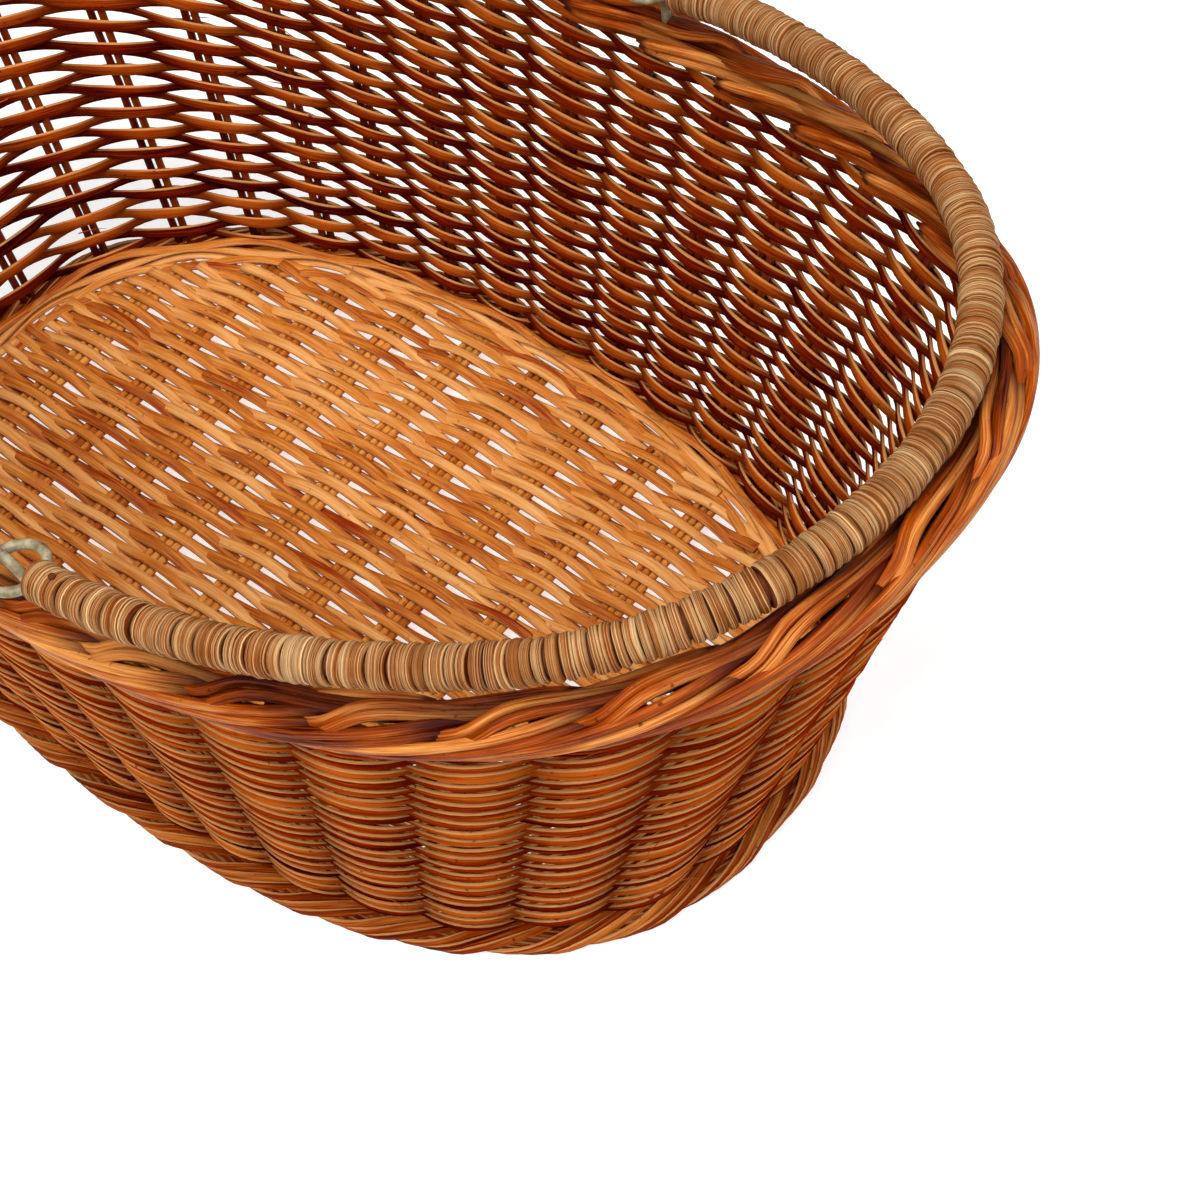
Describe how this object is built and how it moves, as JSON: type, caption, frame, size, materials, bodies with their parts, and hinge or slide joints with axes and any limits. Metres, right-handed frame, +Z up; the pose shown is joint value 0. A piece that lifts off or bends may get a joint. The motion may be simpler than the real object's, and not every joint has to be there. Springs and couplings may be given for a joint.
{
  "type": "oval wicker basket with swing handles",
  "caption": "Oval boat-rimmed basket of woven split cane on a rolled foot, with a rolled border and two wrapped hoop handles that swing up on rings.",
  "frame": {"origin": "centre of the foot, on the surface that the basket stands on", "axes": "+X along the oval's long way, +Y across it, +Z up out of the basket's mouth"},
  "size_m": [0.4894, 0.3068, 0.2314],
  "materials": {
    "wall_weave": "varnished split cane, red-brown, woven",
    "floor_weave": "varnished split cane, orange-tan, woven",
    "stake_cane": "round cane",
    "border_cane": "varnished cane bundles, glossy",
    "handle_peel": "flat peel wound round the handle, low sheen",
    "peg_cane": "round cane, cut ends",
    "loop_cane": "bent cane with a beige-grey painted finish"
  },
  "bodies": {
    "basket": {"floor_sticks": "floor_weave", "floor_weave": "floor_weave", "foot_roll": "border_cane", "lower_wale": "wall_weave", "rim_border": "border_cane", "rim_loop_back_left": "loop_cane", "rim_loop_back_right": "loop_cane", "rim_loop_front_left": "loop_cane", "rim_loop_front_right": "loop_cane", "side_stakes": "stake_cane", "upper_wale": "wall_weave", "wall_weave_high": "wall_weave", "wall_weave_low": "wall_weave", "wall_weave_middle": "wall_weave"},
    "handle_right": {"handle_right_core": "peg_cane", "handle_right_peg_back": "peg_cane", "handle_right_peg_front": "peg_cane", "handle_right_ring_back": "loop_cane", "handle_right_ring_front": "loop_cane", "handle_right_wrap": "handle_peel"},
    "handle_left": {"handle_left_core": "peg_cane", "handle_left_peg_back": "peg_cane", "handle_left_peg_front": "peg_cane", "handle_left_ring_back": "loop_cane", "handle_left_ring_front": "loop_cane", "handle_left_wrap": "handle_peel"}
  },
  "joints": [
    {"name": "handle_right_swing", "type": "hinge", "parent": "basket", "child": "handle_right", "pos_m": [0.0363, 0, 0.188], "axis": [0, -1, 0], "range_deg": [0, 87]},
    {"name": "handle_left_swing", "type": "hinge", "parent": "basket", "child": "handle_left", "pos_m": [-0.0363, 0, 0.188], "axis": [0, 1, 0], "range_deg": [0, 87]}
  ]
}
